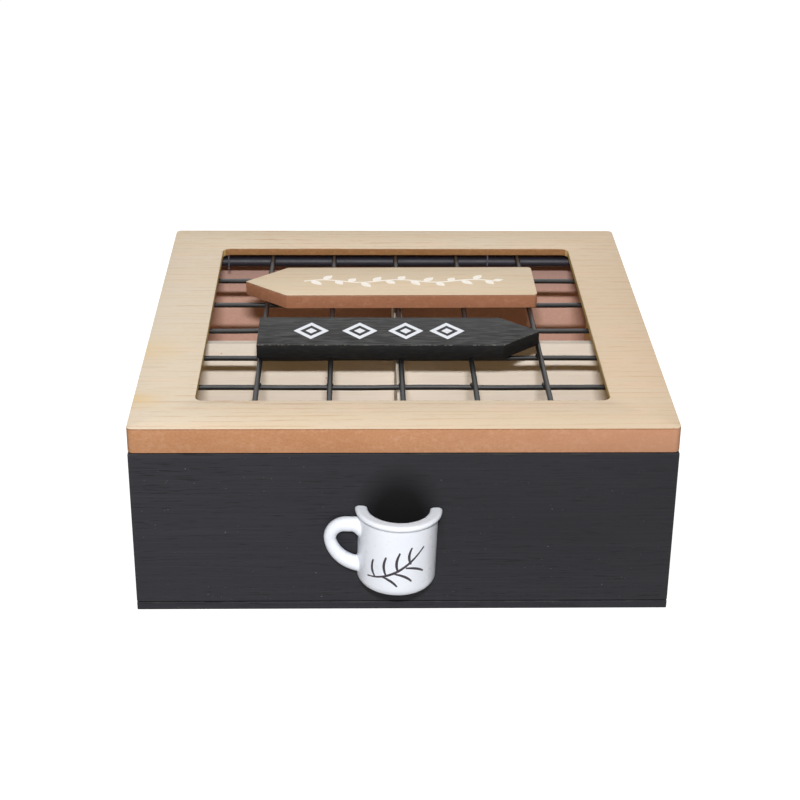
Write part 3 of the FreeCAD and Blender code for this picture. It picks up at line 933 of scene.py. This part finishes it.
# The pull is a half mug, cast in one piece with its rolled rim and its handle, and enamelled white.
# Its back is flat against the front board, and its pocket is open at the top and at the back.
mug_radius = 13.2 * mm
mug_height = 27.6 * mm
mug_base = 12.5 * mm
mug_x = -2.1 * mm
mug_tilt = math.radians(1.8)
foot_radius = 3 * mm
pocket_depth = 15.5 * mm
pocket_radius = 3 * mm
rim_width = 4.2 * mm
roll_radius = 1.0 * mm
roll_round_share = 0.96
rim_overhang = 1.3 * mm
handle_radius = 2.35 * mm
handle_sides = 24
handle_depth = 4.2 * mm
handle_drop = 5.9 * mm
handle_reach = 9.05 * mm
handle_top_bend = 5.15 * mm
handle_low_bend = 11.7 * mm
handle_top_angle = math.radians(100)
handle_low_angle = math.radians(68)
bar_shares = {"root": 1.4, "top": 1.08, "side": 0.88, "tail": 1.14}
root_length = 1.6 * mm
mug_steps = 56
casting_voxel = 0.3 * mm
casting_smoothings = 4
front_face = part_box("drawer_front")[0].y
mug_place = (Matrix.Translation((mug_x, front_face, mug_base + mug_height / 2))
             @ Matrix.Rotation(mug_tilt, 4, "Y") @ Matrix.Translation((0, 0, -mug_height / 2)))

bm = bmesh.new()
pocket_wall = mug_radius + rim_overhang - rim_width
pocket_floor = mug_height - pocket_depth
rim_radius = mug_radius + rim_overhang
rim_base = mug_height - 2 * roll_radius
edge_radius = roll_radius * roll_round_share
section = [(0, 0, 0), (mug_radius, 0, foot_radius), (mug_radius, rim_base, 0),
           (rim_radius, rim_base, edge_radius), (rim_radius, mug_height, edge_radius),
           (pocket_wall, mug_height, edge_radius), (pocket_wall, pocket_floor, pocket_radius),
           (0, pocket_floor, 0)]
verts = [bm.verts.new((x, 0, z)) for x, z, rounding in section]
for pair in zip(verts, verts[1:]):
    bm.edges.new(pair)
for vert, (x, z, rounding) in zip(verts, section):
    if rounding:
        bevel(bm, [vert], rounding, "VERTICES", 8)
bmesh.ops.spin(bm, geom=bm.verts[:] + bm.edges[:], cent=(0, 0, 0), axis=(0, 0, 1), angle=-math.pi,
               steps=mug_steps)
bmesh.ops.remove_doubles(bm, verts=bm.verts, dist=fine_merge)
bmesh.ops.contextual_create(bm, geom=[edge for edge in bm.edges if edge.is_boundary])


def thicken_bar(bm, ring, share, outward, radius):
    """Makes the end of a bar thicker or thinner by a share, while its outer side stays in place."""
    verts = list({vert for edge in ring for vert in edge.verts})
    outer = sum((vert.co for vert in verts), Vector()) / len(verts) + outward * radius
    bmesh.ops.scale(bm, vec=(share, share, share), space=Matrix.Translation(-outer), verts=verts)


def run_bar(bm, ring, shares, step_count, step, outward_at):
    """Carries a bar on in equal steps, while its thickness goes from one share to another."""
    first, last = shares
    for number in range(step_count):
        before = first + (last - first) * number / step_count
        after = first + (last - first) * (number + 1) / step_count
        ring = step(bm, ring)
        outward = outward_at((number + 1) / step_count)
        thicken_bar(bm, ring, after / before, outward, handle_radius * before)
    return ring


def bend_bar(bm, ring, shares, centre, start_angle, angle):
    """Bends a bar about a centre, counted from straight up over to the left."""
    steps = 20
    return run_bar(bm, ring, shares, steps,
                   lambda mesh, edges: turn(mesh, edges, centre, (0, 1, 0), -angle / steps, 1),
                   lambda share: Vector((-math.sin(start_angle + angle * share), 0,
                                         math.cos(start_angle + angle * share))))


def straight_bar(bm, ring, shares, way, length):
    """Runs a bar straight on, with its outer side on the left of its way."""
    steps = 6
    outward = Vector((way.z, 0, -way.x))
    return run_bar(bm, ring, shares, steps, lambda mesh, edges: push(mesh, edges, way * length / steps),
                   lambda share: outward)


handle = bmesh.new()
bar_y = handle_radius - handle_depth
bar_z = mug_height - handle_drop
bend_x = -mug_radius - handle_reach + handle_top_bend
start = Vector((-mug_radius + handle_radius, bar_y, bar_z))
left = Vector((-1, 0, 0))
ring = section_ring(handle, start, handle_radius, handle_sides, Vector((1, 0, 0)))
thicken_bar(handle, ring, bar_shares["root"], Vector((0, 0, 1)), handle_radius)
bmesh.ops.contextual_create(handle, geom=ring)
ring = push(handle, ring, left * handle_radius)
ring = straight_bar(handle, ring, (bar_shares["root"], bar_shares["top"]), left, root_length)
ring = push(handle, ring, left * (start.x - handle_radius - root_length - bend_x))
top_centre = Vector((bend_x, bar_y, bar_z - handle_top_bend))
ring = bend_bar(handle, ring, (bar_shares["top"], bar_shares["side"]), top_centre, 0, handle_top_angle)
outward = Vector((-math.sin(handle_top_angle), 0, math.cos(handle_top_angle)))
low_centre = top_centre + outward * (handle_top_bend - handle_low_bend)
ring = bend_bar(handle, ring, (bar_shares["side"], bar_shares["tail"]), low_centre, handle_top_angle,
                handle_low_angle)
heading = handle_top_angle + handle_low_angle
tail_way = Vector((-math.cos(heading), 0, -math.sin(heading)))
ring = straight_bar(handle, ring, (bar_shares["tail"], bar_shares["root"]), tail_way, handle_radius)
ring = push(handle, ring, tail_way * handle_radius)
bmesh.ops.contextual_create(handle, geom=ring)
cut = bmesh.ops.bisect_plane(handle, geom=handle.verts[:] + handle.edges[:] + handle.faces[:],
                             plane_co=(0, 0, 0), plane_no=(0, 1, 0), clear_outer=True)["geom_cut"]
bmesh.ops.contextual_create(handle, geom=edges_among(cut))
join(bm, handle)
bmesh.ops.recalc_face_normals(bm, faces=bm.faces)

# The cup and the handle are fused into one skin and smoothed, as in a casting.
casting = put_in_scene("casting", as_mesh(bm, "casting"))
fuse = casting.modifiers.new("fuse", "REMESH")
fuse.mode = "VOXEL"
fuse.voxel_size = casting_voxel
bpy.context.view_layer.update()
bm = bmesh.new()
bm.from_mesh(casting.evaluated_get(bpy.context.evaluated_depsgraph_get()).to_mesh())
bpy.data.objects.remove(casting)
for _ in range(casting_smoothings):
    bmesh.ops.smooth_vert(bm, verts=bm.verts, factor=0.5, use_axis_x=True, use_axis_y=True,
                          use_axis_z=True)
bmesh.ops.transform(bm, matrix=mug_place, verts=bm.verts)

glaze = Finish("white_enamel", seen(238, 242, 251), 0.3, Specular_IOR_Level=0.4, Coat_Weight=0.15,
               Coat_Roughness=0.2)
glaze.mottle(seen(233, 237, 247), (7, 7, 7), 3, (0.4, 0.7), 0.5)
glaze.sprinkle(seen(150, 150, 156), (5, 5, 5), 5, 0.03, 0.06, 0.4)
glaze.vary_roughness((3, 3, 3), 9, 0.24, 0.38)
glaze.raise_by(glaze.cloud((4.5, 4.5, 4.5), 7, detail=1), 0.03)
make_piece(bm, "mug_casting", "drawer", ["mug_pull"], [glaze.material])


# A leafy sprig is drawn on the mug with a dark brush, in strokes that follow its round side. Each
# stroke swells towards its middle.
stroke_width = 1.1 * mm
stroke_end_share = 0.84
stroke_swell_share = 0.24
stroke_sink = 0.34 * mm
stroke_steps = 12
strokes = [
    [(-9.4, 6.4), (1.0, 8.6), (8.2, 18.6)],
    [(-7.2, 7.2), (-8.8, 9.8), (-7.8, 13.4)],
    [(-3.6, 8.4), (-5.2, 11.4), (-3.8, 15.4)],
    [(0.2, 10.2), (-1.2, 13.4), (0.6, 17.4)],
    [(4.2, 13.0), (2.8, 15.8), (4.4, 19.2)],
    [(-5.0, 7.8), (-1.8, 7.0), (0.0, 4.6)],
    [(-1.0, 9.4), (2.6, 9.0), (4.6, 6.4)],
    [(2.6, 11.6), (6.0, 11.6), (8.2, 9.4)],
]
ink = Finish("dark_ink", seen(46, 40, 48), 0.45, Specular_IOR_Level=0.4)
ink.mottle(seen(64, 56, 66), (1.2, 1.2, 1.2), 4, (0.5, 0.75), 0.5)
ink.raise_by(ink.cloud((0.6, 0.6, 0.6), 6), 0.02)
sprig = bmesh.new()
for first, middle, last in strokes:
    places = []
    widths = []
    for step in range(stroke_steps + 1):
        share = step / stroke_steps
        flat = (Vector(first) * (1 - share) ** 2 + Vector(middle) * 2 * share * (1 - share)
                + Vector(last) * share ** 2) * mm
        depth = math.sqrt((mug_radius - stroke_sink) ** 2 - flat.x ** 2)
        places.append(Vector((flat.x, -depth, flat.y)))
        swell = stroke_swell_share * math.sin(share * math.pi)
        widths.append(stroke_width * (stroke_end_share + swell))
    join(sprig, drawn_line("stroke", places, widths))
bmesh.ops.transform(sprig, matrix=mug_place, verts=sprig.verts)
make_piece(sprig, "drawn_sprig", "drawer", [], [ink.material])


# Two round-headed steel screws hold the pull. They are driven through the front board from inside
# the drawer.
dress("pull_screws", steel.material)


# A plain pale floor under the box, a small lamp in front and above, a broad one above and behind,
# and an even, slightly warm surround. The camera and reflections see the floor and the surround as
# white.
floor_size = 8
floor_glow = 0.92
lamp_target = Vector((0, 0, 0.04))
key_place = Vector((-0.015, -0.62, 0.455))
key_size = (0.08, 0.02)
key_power = 4.75
top_place = Vector((0, 0.32, 0.68))
top_size = (0.9, 0.3)
top_power = 2.75
fill_level = 0.14
fill_colour = (1, 0.92, 0.74, 1)


def seen_or_mirrored(nodes, links):
    """1 for what the camera sees itself or in a reflection, and 0 for what only lights the box."""
    path = nodes.new("ShaderNodeLightPath")
    either = nodes.new("ShaderNodeMath")
    either.operation = "MAXIMUM"
    links.new(path.outputs["Is Camera Ray"], either.inputs[0])
    links.new(path.outputs["Is Glossy Ray"], either.inputs[1])
    return either.outputs["Value"]


floor_finish = Finish("pale_floor", (0.32, 0.32, 0.32, 1), 0.9, Specular_IOR_Level=0)
floor_finish.mottle((0.3, 0.3, 0.3, 1), (300, 300, 300), 2, (0.3, 0.7), 1)
floor_finish.put("Emission Color", (1, 1, 1, 1))
whitened = seen_or_mirrored(floor_finish.nodes, floor_finish.material.node_tree.links)
floor_finish.put("Emission Strength", floor_finish.span(whitened, 0, 1, 0, floor_glow))
bm = bmesh.new()
bmesh.ops.create_grid(bm, x_segments=1, y_segments=1, size=floor_size / 2)
floor_mesh = as_mesh(bm, "floor")
floor_mesh.materials.append(floor_finish.material)
floor = put_in_scene("floor", floor_mesh)


def hang_lamp(name, place, size, power):
    """An oblong lamp that faces the box."""
    light = bpy.data.lights.new(name, "AREA")
    light.shape = "RECTANGLE"
    light.size, light.size_y = size
    light.energy = power
    lamp = put_in_scene(name, light)
    facing = (lamp_target - place).to_track_quat("-Z", "Y").to_matrix().to_4x4()
    lamp.matrix_world = Matrix.Translation(place) @ facing


hang_lamp("key_lamp", key_place, key_size, key_power)
hang_lamp("top_lamp", top_place, top_size, top_power)

surround = bpy.data.worlds.new("surround")
bpy.context.scene.world = surround
surround.use_nodes = True
sky = surround.node_tree.nodes
ways = surround.node_tree.links
white_share = seen_or_mirrored(sky, ways)
level = sky.new("ShaderNodeMapRange")
level.inputs["To Min"].default_value = fill_level
level.inputs["To Max"].default_value = 1
ways.new(white_share, level.inputs["Value"])
ways.new(level.outputs["Result"], sky["Background"].inputs["Strength"])
shade = sky.new("ShaderNodeMix")
shade.data_type = "RGBA"
shade.inputs[6].default_value = fill_colour
shade.inputs[7].default_value = (1, 1, 1, 1)
ways.new(white_share, shade.inputs["Factor"])
ways.new(shade.outputs[2], sky["Background"].inputs["Color"])
bpy.context.scene.view_settings.view_transform = "Standard"
